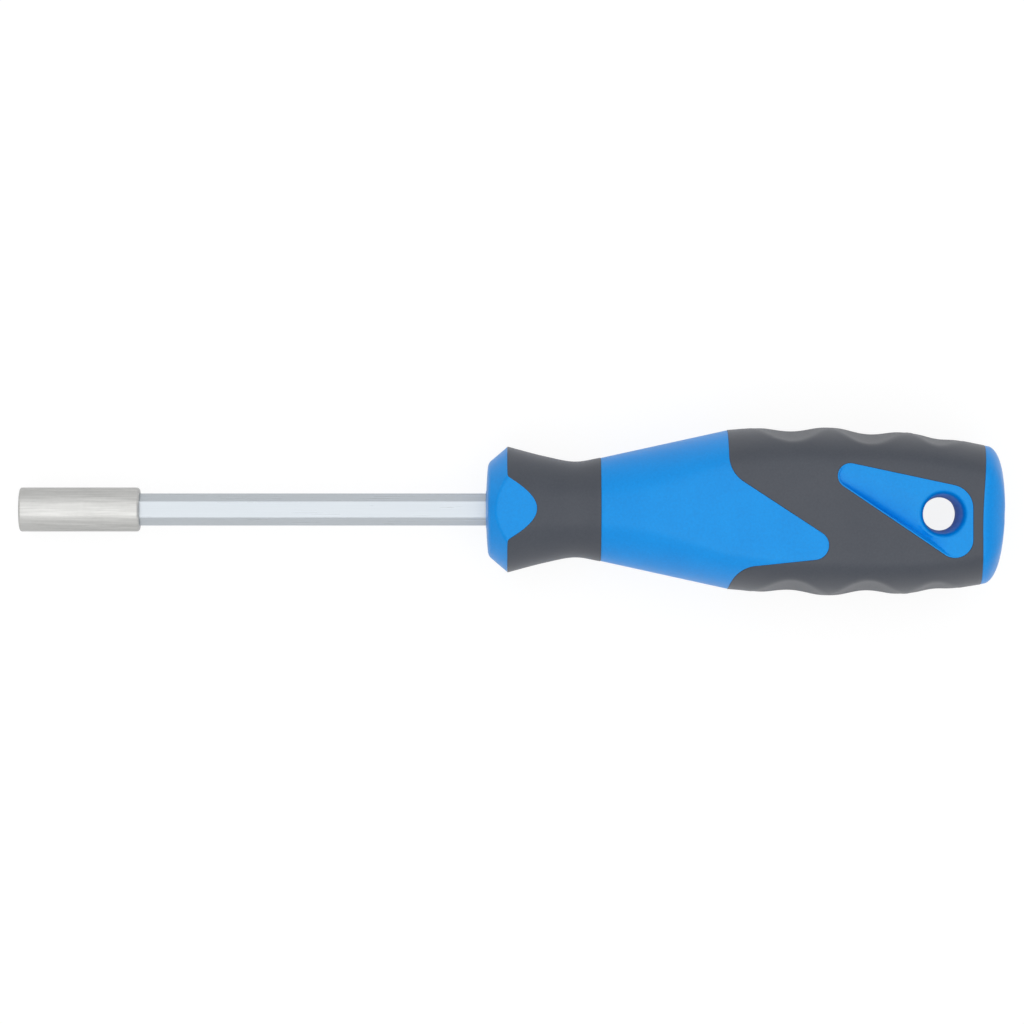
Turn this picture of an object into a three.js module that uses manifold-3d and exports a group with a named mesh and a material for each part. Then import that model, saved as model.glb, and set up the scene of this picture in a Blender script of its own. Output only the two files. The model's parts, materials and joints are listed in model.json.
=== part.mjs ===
// Bit holder screwdriver: a hexagon shaft with a magnetic bit sleeve in front, and a moulded handle of
// hard plastic with two soft grips behind. Millimetres, +Z up, lying on a bench along X, sleeve to -X.
import * as THREE from 'three';
import { mergeVertices } from 'three/addons/utils/BufferGeometryUtils.js';
import loadManifold from 'manifold-3d';

const wasm = await loadManifold();
wasm.setup();

// Places along the tool count from the handle's front face, towards the end cap.
// What a name or a field calls toCap counts back from the cap's seam instead.

// Hexagon shaft and its tang
const shaftFlats = 6.35;
const shaftReach = 106;
const shaftChamfer = 0.5;
const tangLength = 80;
const wingSpan = 10;
const wingThickness = 2.4;
const wingLength = 8;
const wingPlaces = [40, 66];

// Bit sleeve with its hexagon socket, magnet and retaining ring
const sleeveDiameter = 10;
const sleeveLength = 28;
const sleeveFrontChamfer = 0.6;
const sleeveRearRounding = 1.1;
const boreClearance = 0.1;
const socketDepth = 11.5;
const mouthDiameter = 8;
const mouthDepth = 0.8;
const rearRecessDiameter = 7.7;
const rearRecessDepth = 1.2;
const magnetDiameter = 6.2;
const magnetLength = 4;
const magnetClearance = 0.1;
const ringPlace = 4.2;
const ringWire = 0.8;
const ringDiameter = 8.3;
const ringOpening = THREE.MathUtils.degToRad(60);
const ringClearance = 0.15;

// Handle outline: the hard surface's radius at places along the handle
const handleLength = 118;
const collarFaceRadius = 8.4;
const collarShoulderPlace = 1.5;
const collarShoulderRadius = 11.7;
const collarLength = 5;
const collarRadius = 14.1;
const collarFlatDistance = 12.55;
const neckThroatPlace = 13.8;
const neckThroatRadius = 11.85;
const waistPlace = 20.5;
const waistRadius = 10.7;
const neckEnd = 26.2;
const neckEndRadius = 11.65;
const rearGripLength = 58.3;
const gripStartRadius = 18;
const swellToCap = 44.2;
const swellRadius = 18.85;
const shoulderToCap = 18.6;
const shoulderRadius = 18.15;
const tailToCap = 7.1;
const tailRadius = 16.7;
const capLength = 4.8;
const capRadius = 15.5;
const capFullness = 2.2;
const capFaceShare = 0.15;

// Two broad flats, above and below, shallower towards the cap
const flatDepth = 14.8;
const flatTaperToCap = 33.2;
const flatTaper = 2;
const flatSharpness = 16;

// The rear of the handle leans a little to -Y, and the cap's seam slants with it and bows on the flats
const leanToCap = 55.2;
const lean = 1.1;
const seamSlant = 0.03;
const seamBow = 0.8;

// Finger scallops in both sides of the rear grip
const scallops = [
  { toCap: 43.9, depth: 1.1, reach: 8.6 },
  { toCap: 26.6, depth: 1.15, reach: 8.4 },
  { toCap: 11.2, depth: 0.55, reach: 5.8 },
];
const scallopSpread = THREE.MathUtils.degToRad(50);

// Soft grips: thickness under the hard surface, how far they stand proud of it, and the moulding gap
const neckGripWall = 1.6;
const rearGripWall = 2;
const gripProud = 0.25;
const mouldGap = 0.3;

// Tongue of the middle reaching into the rear grip: corners of its outline, seen from above
const tongueTip = { toCap: 29.7, y: -10.4, rounding: 3.3 };
const tongueTopCorner = { y: 8.4, rounding: 7 };
const tongueBottomCorner = { y: -13.3, rounding: 5 };

// Triangular window round the hang hole, seen from above
const windowRearToCap = 3.5;
const windowCorners = [
  { toCap: 44.9, y: 13.3, rounding: 2.7 },
  { toCap: windowRearToCap, y: -14.35, rounding: 4.2 },
  { toCap: windowRearToCap, y: 4.5, rounding: 5.4 },
];
const hangHole = { toCap: 10.1, y: -1, throat: 7.5, draft: 0.07, mouth: 11, mouthDepth: 1.6 };

// Ribbed core round the tang, and the wall between its end and the hang hole
const coreStart = 6;
const coreToHole = 5.6;
const coreRadius = 6.2;
const coreRibs = 6;
const coreRibHeight = 1;
const coreRibWidth = 2.4;

// Fineness of the round surfaces
const ringSides = 40;
const hiddenSides = 20;
const holeSides = 24;
const collarSteps = 4;
const neckSteps = 8;
const middleSteps = 5;
const gripSteps = 20;
const hiddenSteps = 8;
const capSteps = 5;
const curveSteps = 5;
const wireSides = 8;
const wireSteps = 24;

// Lengths that follow from the sizes above
const sleeveMouth = -shaftReach;
const sleeveRear = sleeveMouth + sleeveLength;
const magnetFace = sleeveMouth + socketDepth;
const shaftFront = magnetFace + magnetLength + magnetClearance;
const boreFlats = shaftFlats + boreClearance;
const capStart = handleLength - capLength;
const gripStart = capStart - rearGripLength;
const hangHolePlace = capStart - hangHole.toCap;
const coreEnd = hangHolePlace - hangHole.mouth / 2 - coreToHole;
const outerReach = 1.5 * swellRadius;
const cutReach = 2;
const hexSides = 6;

const material = {
  plated: new THREE.MeshStandardMaterial({ color: 0xd2d8de, roughness: 0.3, metalness: 1 }),
  stainless: new THREE.MeshStandardMaterial({ color: 0xc9c8c4, roughness: 0.35, metalness: 1 }),
  magnet: new THREE.MeshStandardMaterial({ color: 0xb9babd, roughness: 0.25, metalness: 1 }),
  spring: new THREE.MeshStandardMaterial({ color: 0x8d8f92, roughness: 0.35, metalness: 1 }),
  core: new THREE.MeshStandardMaterial({ color: 0x2a2c30, roughness: 0.6, metalness: 0 }),
  blue: new THREE.MeshStandardMaterial({ color: 0x1089dc, roughness: 0.45, metalness: 0 }),
  soft: new THREE.MeshStandardMaterial({ color: 0x51565e, roughness: 0.8, metalness: 0 }),
};

// Solids from geometry, and back

function solid(geometry) {
  const bare = geometry.clone();
  bare.deleteAttribute('normal');
  bare.deleteAttribute('uv');
  const merged = mergeVertices(bare, 1e-4);
  return new wasm.Manifold(new wasm.Mesh({
    numProp: 3,
    vertProperties: new Float32Array(merged.attributes.position.array),
    triVerts: new Uint32Array(merged.index.array),
  }));
}

function joined(solids) {
  return solids.reduce((whole, next) => whole.add(next));
}

function part(name, manifold, finish) {
  const data = manifold.getMesh();
  const geometry = new THREE.BufferGeometry();
  geometry.setAttribute('position', new THREE.BufferAttribute(data.vertProperties, 3));
  geometry.setIndex(new THREE.BufferAttribute(data.triVerts, 1));
  geometry.computeVertexNormals();
  const mesh = new THREE.Mesh(geometry, finish);
  mesh.name = name;
  return mesh;
}

// Basic shapes along the tool

function bar(rearRadius, frontRadius, from, to) {
  const geometry = new THREE.CylinderGeometry(rearRadius, frontRadius, to - from, ringSides);
  geometry.rotateZ(-Math.PI / 2);
  geometry.translate((from + to) / 2, 0, 0);
  return solid(geometry);
}

// Hexagon with a flat facing straight up
function hexRing(cornerRadius, place) {
  return steps(-Math.PI, Math.PI, hexSides).slice(0, -1).map((angle) => {
    const corner = angle + Math.PI / hexSides;
    return new THREE.Vector3(place, cornerRadius * Math.sin(corner), cornerRadius * Math.cos(corner));
  });
}

function hexBar(flats, from, to) {
  const cornerRadius = flats / Math.sqrt(3);
  return loft([hexRing(cornerRadius, from), hexRing(cornerRadius, to)]);
}

function block(from, to, width, bottom, top) {
  const geometry = new THREE.BoxGeometry(to - from, width, top - bottom);
  geometry.translate((from + to) / 2, 0, (bottom + top) / 2);
  return geometry;
}

function turned(profile) {
  const geometry = new THREE.LatheGeometry(profile, ringSides);
  geometry.rotateZ(-Math.PI / 2);
  return solid(geometry);
}

function upright(outline, bottom, top) {
  const geometry = new THREE.ExtrudeGeometry(new THREE.Shape(outline), {
    depth: top - bottom,
    bevelEnabled: false,
  });
  geometry.translate(0, 0, bottom);
  return geometry;
}

function loft(rings) {
  const sides = rings[0].length;
  const last = rings.length - 1;
  const points = rings.flat();
  const triangles = [];
  for (let r = 0; r < last; r++) {
    for (let i = 0; i < sides; i++) {
      const next = (i + 1) % sides;
      const [a, b] = [r * sides + i, r * sides + next];
      const [d, c] = [a + sides, b + sides];
      triangles.push(a, d, b, b, d, c);
    }
  }
  const frontCentre = points.push(centreOf(rings[0])) - 1;
  const rearCentre = points.push(centreOf(rings[last])) - 1;
  for (let i = 0; i < sides; i++) {
    const next = (i + 1) % sides;
    triangles.push(frontCentre, i, next);
    triangles.push(rearCentre, last * sides + next, last * sides + i);
  }
  const geometry = new THREE.BufferGeometry().setFromPoints(points);
  geometry.setIndex(triangles);
  return solid(geometry);
}

function centreOf(ring) {
  const centre = new THREE.Vector3();
  ring.forEach((point) => centre.add(point));
  return centre.divideScalar(ring.length);
}

// Outline with rounded corners, listed counter-clockwise and pushed outwards by grow

function roundedOutline(corners, grow = 0) {
  const count = corners.length;
  const points = corners.map(({ x, y }) => new THREE.Vector2(x, y));
  const along = points.map((p, i) => points[(i + 1) % count].clone().sub(p).normalize());
  return corners.flatMap((corner, i) => {
    const before = along[(i + count - 1) % count];
    const after = along[i];
    const turn = Math.atan2(before.cross(after), before.dot(after));
    const outward = new THREE.Vector2(before.y + after.y, -before.x - after.x).normalize();
    const moved = points[i].clone().addScaledVector(outward, grow / Math.cos(turn / 2));
    const radius = corner.rounding + Math.sign(turn) * grow;
    if (!(corner.rounding > 0)) return [moved];
    const centre = moved.clone().addScaledVector(outward, (-Math.sign(turn) * radius) / Math.cos(turn / 2));
    const start = Math.atan2(-before.x, before.y) + (turn > 0 ? 0 : Math.PI);
    return steps(0, turn, curveSteps).map((angle) => new THREE.Vector2(
      centre.x + radius * Math.cos(start + angle),
      centre.y + radius * Math.sin(start + angle),
    ));
  });
}

function steps(from, to, count) {
  return Array.from({ length: count + 1 }, (_, i) => from + ((to - from) * i) / count);
}

// Handle surface

function smoothThrough(knots) {
  const places = knots.map(([place]) => place);
  const radii = knots.map(([, radius]) => radius);
  const curve = new THREE.CubicInterpolant(places, radii, 1, new Float64Array(1));
  return (place) => curve.evaluate(place)[0];
}

const neckRadius = smoothThrough([
  [collarLength, collarRadius],
  [neckThroatPlace, neckThroatRadius],
  [waistPlace, waistRadius],
  [neckEnd, neckEndRadius],
]);

const rearRadius = smoothThrough([
  [gripStart, gripStartRadius],
  [capStart - swellToCap, swellRadius],
  [capStart - shoulderToCap, shoulderRadius],
  [capStart - tailToCap, tailRadius],
  [capStart, capRadius],
]);

function sideRadius(place) {
  if (place <= neckEnd) return neckRadius(Math.max(place, collarLength));
  if (place >= gripStart) return rearRadius(Math.min(place, capStart));
  return THREE.MathUtils.mapLinear(place, neckEnd, gripStart, neckEndRadius, gripStartRadius);
}

function capScale(place) {
  const share = Math.max(0, (place - capStart) / capLength);
  const rounding = Math.max(0, 1 - share ** capFullness) ** (1 / capFullness);
  return capFaceShare + (1 - capFaceShare) * rounding;
}

function depthOfFlat(place) {
  const share = THREE.MathUtils.clamp(1 - (capStart - place) / flatTaperToCap, 0, 1);
  return flatDepth - flatTaper * share;
}

function scallopDepth(place, angle) {
  const fromSide = Math.abs(Math.abs(angle) - Math.PI / 2);
  if (fromSide > scallopSpread) return 0;
  const across = Math.cos((Math.PI / 2) * (fromSide / scallopSpread)) ** 2;
  return scallops.reduce((sum, scallop) => {
    const share = Math.min(1, Math.abs(place - capStart + scallop.toCap) / scallop.reach);
    return sum + scallop.depth * across * Math.cos((Math.PI / 2) * share) ** 2;
  }, 0);
}

function surfaceRadius(place, angle) {
  const round = sideRadius(place);
  const flat = depthOfFlat(place) / Math.max(1e-6, Math.abs(Math.cos(angle)));
  const blended = (round ** -flatSharpness + flat ** -flatSharpness) ** (-1 / flatSharpness);
  return (blended - scallopDepth(place, angle)) * capScale(place);
}

function leanShare(place) {
  return THREE.MathUtils.clamp(1 - (capStart - place) / leanToCap, 0, 1);
}

// A ring of the surface, the angle counted from straight up, standing proud by offset
function surfaceRing(place, offset = 0, sides = ringSides, radiusAt = surfaceRadius) {
  const share = leanShare(place);
  return steps(-Math.PI, Math.PI, sides).slice(0, -1).map((angle) => {
    const radius = radiusAt(place, angle) + offset;
    const y = radius * Math.sin(angle);
    return new THREE.Vector3(
      place + share * (seamSlant * y - seamBow * capScale(place) * Math.cos(angle) ** 2),
      y - lean * share,
      radius * Math.cos(angle),
    );
  });
}

function surfaceLoft(from, to, count, offset, sides) {
  return loft(steps(from, to, count).map((place) => surfaceRing(place, offset, sides)));
}

function hiddenLoft(from, to, offset) {
  return surfaceLoft(from, to, hiddenSteps, offset, hiddenSides);
}

const collarBend = (collarFaceRadius + collarShoulderRadius) / 2;
const collarCurve = new THREE.Path()
  .moveTo(0, collarFaceRadius)
  .quadraticCurveTo(0, collarBend, collarShoulderPlace, collarShoulderRadius)
  .lineTo(collarLength, collarRadius);

function collarRings() {
  return collarCurve.getPoints(collarSteps).map((point) => surfaceRing(point.x, 0, ringSides, () => point.y));
}

// Anti-roll flats on the collar, and the tongues where they run out into the neck

function aboveAndBelow(geometry) {
  return solid(geometry).add(solid(geometry.clone().rotateX(Math.PI)));
}

function flatRunOut() {
  const places = steps(collarLength, neckEnd, neckSteps * curveSteps);
  const beyond = places.find((place) => neckRadius(place) + gripProud < collarFlatDistance);
  return beyond ?? neckEnd;
}

function tongueOutline(grow) {
  const tip = flatRunOut();
  const side = steps(collarLength, tip, curveSteps).map((place) => {
    const reach = neckRadius(place) + gripProud;
    const halfWidth = Math.sqrt(Math.max(0, reach ** 2 - collarFlatDistance ** 2));
    const tipShare = (place - collarLength) / (tip - collarLength);
    return new THREE.Vector2(place + grow * tipShare, halfWidth + grow);
  });
  const otherSide = side.map((point) => new THREE.Vector2(point.x, -point.y));
  const root = collarLength - collarShoulderPlace / 2;
  const rootWidth = side[0].y;
  return [
    new THREE.Vector2(root, rootWidth),
    new THREE.Vector2(root, -rootWidth),
    ...otherSide,
    ...side.reverse(),
  ];
}

function collarTongues(grow) {
  return aboveAndBelow(upright(tongueOutline(grow), coreRadius, collarFlatDistance + neckGripWall));
}

function collarFlatCutters() {
  const width = 2 * collarRadius;
  return aboveAndBelow(block(-mouldGap, flatRunOut() + mouldGap, width, collarFlatDistance, outerReach));
}

// Outlines of the hard plastic that shows through the rear grip

function countedFromCap({ toCap, y, rounding }) {
  return { x: capStart - toCap, y, rounding };
}

function tongueArea(grow) {
  const root = gripStart - 2 * cutReach;
  return solid(upright(roundedOutline([
    { x: root, y: outerReach },
    { x: root, y: -outerReach },
    { x: gripStart, y: -outerReach },
    { x: gripStart, ...tongueBottomCorner },
    countedFromCap(tongueTip),
    { x: gripStart, ...tongueTopCorner },
    { x: gripStart, y: outerReach },
  ], grow), -outerReach, outerReach));
}

function windowArea(grow) {
  const corners = windowCorners.map(countedFromCap);
  return solid(upright(roundedOutline(corners, grow), -outerReach, outerReach));
}

// Pieces

function hexShaft() {
  const cornerRadius = shaftFlats / Math.sqrt(3);
  const tipRadius = cornerRadius - shaftChamfer;
  const hexagon = loft([
    hexRing(tipRadius, shaftFront),
    hexRing(cornerRadius, shaftFront + shaftChamfer),
    hexRing(cornerRadius, tangLength - shaftChamfer),
    hexRing(tipRadius, tangLength),
  ]);
  const wings = wingPlaces.map((place) => solid(
    block(place, place + wingLength, wingSpan, -wingThickness / 2, wingThickness / 2),
  ));
  return joined([hexagon, ...wings]);
}

function sleeveBody() {
  const radius = sleeveDiameter / 2;
  const profile = new THREE.Path()
    .moveTo(0, sleeveMouth)
    .lineTo(radius - sleeveFrontChamfer, sleeveMouth)
    .lineTo(radius, sleeveMouth + sleeveFrontChamfer)
    .lineTo(radius, sleeveRear - sleeveRearRounding)
    .quadraticCurveTo(radius, sleeveRear, radius - sleeveRearRounding, sleeveRear)
    .lineTo(0, sleeveRear);
  return turned(profile.getPoints(curveSteps));
}

function ringGroove() {
  const grooveRadius = ringDiameter / 2 + ringClearance;
  const halfWidth = ringWire / 2 + ringClearance;
  const middle = sleeveMouth + ringPlace;
  return bar(grooveRadius, grooveRadius, middle - halfWidth, middle + halfWidth);
}

function bitSleeve() {
  const boreRadius = boreFlats / 2;
  const mouthFlare = bar(boreRadius, mouthDiameter / 2, sleeveMouth, sleeveMouth + mouthDepth);
  const recessRadius = rearRecessDiameter / 2;
  const rearRecess = bar(recessRadius, recessRadius, sleeveRear - rearRecessDepth, sleeveRear);
  return sleeveBody()
    .subtract(hexBar(boreFlats, sleeveMouth - mouthDepth, sleeveRear + rearRecessDepth))
    .subtract(mouthFlare)
    .subtract(rearRecess)
    .subtract(ringGroove());
}

function bitMagnet() {
  return bar(magnetDiameter / 2, magnetDiameter / 2, magnetFace, magnetFace + magnetLength);
}

function retainingRing() {
  const section = new THREE.Shape(steps(0, 2 * Math.PI, wireSides).slice(0, -1).map((angle) => {
    return new THREE.Vector2(Math.cos(angle), Math.sin(angle)).multiplyScalar(ringWire / 2);
  }));
  const middleRadius = (ringDiameter - ringWire) / 2;
  const path = new THREE.CatmullRomCurve3(
    steps(ringOpening / 2, 2 * Math.PI - ringOpening / 2, wireSteps).map((angle) => new THREE.Vector3(
      sleeveMouth + ringPlace,
      middleRadius * Math.cos(angle),
      middleRadius * Math.sin(angle),
    )),
  );
  return solid(new THREE.ExtrudeGeometry(section, { steps: wireSteps, extrudePath: path }));
}

function coreOutline(grow) {
  const rootRadius = coreRadius + grow;
  const ribRadius = rootRadius + coreRibHeight;
  const halfWidth = coreRibWidth / 2 + grow;
  const rootAngle = Math.asin(halfWidth / rootRadius);
  const ribAngle = Math.asin(halfWidth / ribRadius);
  const pitch = (2 * Math.PI) / coreRibs;
  const polar = (radius, angle) => new THREE.Vector2(radius * Math.cos(angle), radius * Math.sin(angle));
  return steps(0, 2 * Math.PI, coreRibs).slice(0, -1).flatMap((rib) => [
    polar(ribRadius, rib - ribAngle),
    polar(ribRadius, rib + ribAngle),
    ...steps(rib + rootAngle, rib + pitch - rootAngle, curveSteps).map((angle) => polar(rootRadius, angle)),
  ]);
}

function ribbedCore(grow) {
  const geometry = upright(coreOutline(grow), coreStart - grow, coreEnd + grow);
  geometry.rotateY(Math.PI / 2);
  return solid(geometry);
}

function tangSpace() {
  const gap = 2 * mouldGap;
  const wings = wingPlaces.map((place) => solid(block(
    place - mouldGap,
    place + wingLength + mouldGap,
    wingSpan + gap,
    -wingThickness / 2 - mouldGap,
    wingThickness / 2 + mouldGap,
  )));
  return joined([hexBar(shaftFlats + gap, -coreStart, tangLength + mouldGap), ...wings]);
}

function tangCore() {
  return ribbedCore(0).subtract(tangSpace());
}

function hangHoleCutter() {
  const throat = hangHole.throat / 2;
  const mouthFoot = flatDepth - flatTaper - hangHole.mouthDepth;
  const footRadius = throat + hangHole.draft * mouthFoot;
  const half = new THREE.Path()
    .moveTo(throat, 0)
    .lineTo(footRadius, mouthFoot)
    .quadraticCurveTo(footRadius, mouthFoot + hangHole.mouthDepth, hangHole.mouth / 2, flatDepth)
    .lineTo(hangHole.mouth / 2, outerReach)
    .lineTo(0, outerReach)
    .getPoints(curveSteps);
  const lower = half.slice(1).reverse().map((point) => new THREE.Vector2(point.x, -point.y));
  const geometry = new THREE.LatheGeometry([...lower, ...half], holeSides);
  geometry.rotateX(Math.PI / 2);
  geometry.translate(hangHolePlace, hangHole.y, 0);
  return solid(geometry);
}

// Hard surface from the front face to the cap, before the grips' places are cut into it
function hardLoft() {
  return loft([
    ...collarRings(),
    ...steps(collarLength, neckEnd, neckSteps).slice(1).map((place) => surfaceRing(place)),
    ...steps(neckEnd, gripStart, middleSteps).slice(1).map((place) => surfaceRing(place)),
    ...steps(gripStart, capStart, gripSteps).slice(1).map((place) => surfaceRing(place)),
    ...steps(0, Math.PI / 2, capSteps).slice(1).map((angle) => {
      return surfaceRing(capStart + capLength * Math.sin(angle));
    }),
  ]);
}

function neckRecess() {
  const floor = -neckGripWall - mouldGap;
  return hiddenLoft(collarLength, neckEnd, cutReach)
    .subtract(hiddenLoft(collarLength - cutReach, neckEnd + cutReach, floor))
    .subtract(collarTongues(0));
}

function rearRecess() {
  const from = gripStart - cutReach;
  const floor = -rearGripWall - mouldGap;
  return hiddenLoft(from, capStart, cutReach)
    .subtract(hiddenLoft(from - cutReach, capStart + cutReach, floor))
    .subtract(tongueArea(0))
    .subtract(windowArea(0));
}

function hardBody() {
  return hardLoft()
    .subtract(neckRecess())
    .subtract(rearRecess())
    .subtract(collarFlatCutters())
    .subtract(ribbedCore(mouldGap))
    .subtract(hexBar(shaftFlats + 2 * mouldGap, -coreStart, coreStart))
    .subtract(hangHoleCutter());
}

function neckGrip() {
  const from = collarLength + mouldGap;
  const to = neckEnd - mouldGap;
  const bore = hiddenLoft(collarLength - cutReach, neckEnd + cutReach, -neckGripWall);
  return surfaceLoft(from, to, neckSteps, gripProud)
    .subtract(bore)
    .subtract(collarTongues(mouldGap));
}

function rearGrip() {
  const from = gripStart - cutReach;
  const to = capStart - mouldGap;
  const bore = hiddenLoft(from - cutReach, capStart + cutReach, -rearGripWall);
  return surfaceLoft(from, to, gripSteps, gripProud)
    .subtract(bore)
    .subtract(tongueArea(mouldGap))
    .subtract(windowArea(mouldGap));
}

const tool = new THREE.Group();
tool.add(part('hex_shaft', hexShaft(), material.plated));
tool.add(part('bit_sleeve', bitSleeve(), material.stainless));
tool.add(part('bit_magnet', bitMagnet(), material.magnet));
tool.add(part('retaining_ring', retainingRing(), material.spring));
tool.add(part('tang_core', tangCore(), material.core));
tool.add(part('hard_body', hardBody(), material.blue));
tool.add(part('neck_grip', neckGrip(), material.soft));
tool.add(part('rear_grip', rearGrip(), material.soft));

// It lies on the lowest collar flat's front edge and on the broad flat below, tip slightly down.
const flatFront = THREE.MathUtils.mapLinear(
  collarFlatDistance,
  collarShoulderRadius,
  collarRadius,
  collarShoulderPlace,
  collarLength,
);
const restTilt = Math.max(...steps(neckEnd, capStart, middleSteps * gripSteps).map((place) => Math.atan2(
  surfaceRadius(place, Math.PI) - collarFlatDistance,
  place - flatFront,
)));
tool.rotation.y = -restTilt;

const screwdriver = new THREE.Group();
screwdriver.add(tool);
const box = new THREE.Box3().setFromObject(screwdriver, true);
const middle = box.getCenter(new THREE.Vector3());
tool.position.set(-middle.x, -middle.y, -box.min.z);

export default screwdriver;
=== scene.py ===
import json
from math import ceil, cos, pi, radians, sin, sqrt

import bmesh
import bpy
import numpy as np
from mathutils import Matrix, Vector
from mathutils.geometry import delaunay_2d_cdt
from mathutils.kdtree import KDTree


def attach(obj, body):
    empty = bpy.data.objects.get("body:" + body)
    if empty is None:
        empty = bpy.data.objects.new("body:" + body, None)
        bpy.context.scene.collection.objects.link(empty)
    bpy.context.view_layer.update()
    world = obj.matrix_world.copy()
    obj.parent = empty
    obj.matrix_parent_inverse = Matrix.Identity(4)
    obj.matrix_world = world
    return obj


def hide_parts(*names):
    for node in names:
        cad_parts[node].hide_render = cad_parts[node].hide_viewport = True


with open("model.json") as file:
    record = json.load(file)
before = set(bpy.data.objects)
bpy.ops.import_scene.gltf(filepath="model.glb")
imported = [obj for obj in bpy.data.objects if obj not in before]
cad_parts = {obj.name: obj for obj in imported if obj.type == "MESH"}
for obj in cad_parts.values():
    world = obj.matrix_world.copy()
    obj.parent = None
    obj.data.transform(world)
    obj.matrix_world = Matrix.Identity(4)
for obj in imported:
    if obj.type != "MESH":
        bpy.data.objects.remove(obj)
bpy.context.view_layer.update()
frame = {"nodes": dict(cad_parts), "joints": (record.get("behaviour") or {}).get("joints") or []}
print("frame loaded:", ", ".join(sorted(frame["nodes"])))

# Lengths are in mm on the tool's own axes: x from the handle's front face to the cap, y across, z up.
mm = 0.001
weldGap = 1e-4
tool = {"shaftReach": 106.0, "ringPlace": 4.2}  # sleeve mouth ahead of the handle, ring behind the mouth
ringHinge = frame["joints"][0]
toolAxis = Vector(ringHinge["axis"]).normalized()
toolUp = toolAxis.cross(Vector((0, 1, 0)))
toolOrigin = Vector(ringHinge["pos_m"]) + toolAxis * (tool["shaftReach"] - tool["ringPlace"]) * mm
toolTurn = Matrix((toolAxis, (0, 1, 0), toolUp)).transposed()
toolFrame = Matrix.Translation(toolOrigin) @ toolTurn.to_4x4() @ Matrix.Scale(mm, 4)


# Camera and studio

cameraSpec = {"aimX": 6.07, "aimY": -0.57, "distance": 1200.0, "frameWidth": 232.7, "sensor": 36.0}
studio = {  # lengths in metres
    "floorSize": 6.0, "floorColour": (0.93, 0.93, 0.93), "floorGlow": 0.87, "floorLit": 0.17,
    "shadowReach": 0.3,  # reflections from closer than this keep the floor's shadow
    "worldLevel": 0.76, "endLevel": 0.34, "endStart": 0.3, "endFull": 0.8,  # darker towards the tool's ends
    "boxHeight": 1.7, "boxReach": (0.62, 0.78), "boxLevel": 0.75,  # half length and width for each metre up
    "wideReach": (0.62, 2.4), "wideLevel": 0.16,
    "stripPlace": -0.88, "stripWidth": 0.2, "stripLength": 2.4, "stripHeight": 1.6, "stripLevel": 0.9,
}


def addCamera():
    camera = bpy.data.objects.new("camera", bpy.data.cameras.new("camera"))
    bpy.context.scene.collection.objects.link(camera)
    camera.data.sensor_width = cameraSpec["sensor"]
    camera.data.lens = cameraSpec["sensor"] * cameraSpec["distance"] / cameraSpec["frameWidth"]
    place = toolFrame @ Vector((cameraSpec["aimX"], cameraSpec["aimY"], cameraSpec["distance"]))
    camera.matrix_world = Matrix.Translation(place) @ toolTurn.to_4x4()
    bpy.context.scene.camera = camera


def mathNode(tree, operation, *values):  # each value is a socket or a number
    node = tree.nodes.new("ShaderNodeMath")
    node.operation = operation
    for socket, value in zip(node.inputs, values):
        if isinstance(value, (int, float)):
            socket.default_value = value
        else:
            tree.links.new(value, socket)
    return node.outputs[0]


def whiteShare(tree):  # 1 for rays that see white, 0 for those that light the object
    path = tree.nodes.new("ShaderNodeLightPath")
    away = tree.nodes.new("ShaderNodeMapRange")
    away.inputs["From Max"].default_value = studio["shadowReach"]
    tree.links.new(path.outputs["Ray Length"], away.inputs["Value"])
    glossy, through = path.outputs["Is Glossy Ray"], path.outputs["Is Transmission Ray"]
    bounced = mathNode(tree, "MAXIMUM", glossy, through)
    reflected = mathNode(tree, "MULTIPLY", bounced, away.outputs["Result"])
    return mathNode(tree, "MAXIMUM", path.outputs["Is Camera Ray"], reflected)


def seenAsWhite(tree, lit, seen):  # lit for rays that light the object, seen for those that see white
    mix = tree.nodes.new("ShaderNodeMixShader")
    tree.links.new(whiteShare(tree), mix.inputs[0])
    tree.links.new(lit.outputs[0], mix.inputs[1])
    tree.links.new(seen.outputs[0], mix.inputs[2])
    return mix.outputs[0]


def addFloor():
    mesh = bpy.data.meshes.new("floor")
    half = studio["floorSize"] / 2
    corners = [(-half, -half, 0), (half, -half, 0), (half, half, 0), (-half, half, 0)]
    mesh.from_pydata(corners, [], [(0, 1, 2, 3)])
    floor = bpy.data.objects.new("floor", mesh)
    bpy.context.scene.collection.objects.link(floor)
    material = bpy.data.materials.new("paleFloor")
    material.use_nodes = True
    tree = material.node_tree
    tree.nodes.clear()
    out = tree.nodes.new("ShaderNodeOutputMaterial")
    lit = tree.nodes.new("ShaderNodeBsdfDiffuse")
    lit.inputs["Color"].default_value = (*studio["floorColour"], 1)
    seen = tree.nodes.new("ShaderNodeAddShader")  # nearly white, with a trace of the shadow left
    glow = tree.nodes.new("ShaderNodeEmission")
    glow.inputs["Strength"].default_value = studio["floorGlow"]
    trace = tree.nodes.new("ShaderNodeBsdfDiffuse")
    trace.inputs["Color"].default_value = (*[studio["floorLit"]] * 3, 1)
    tree.links.new(glow.outputs[0], seen.inputs[0])
    tree.links.new(trace.outputs[0], seen.inputs[1])
    tree.links.new(seenAsWhite(tree, lit, seen), out.inputs["Surface"])
    mesh.materials.append(material)


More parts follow.
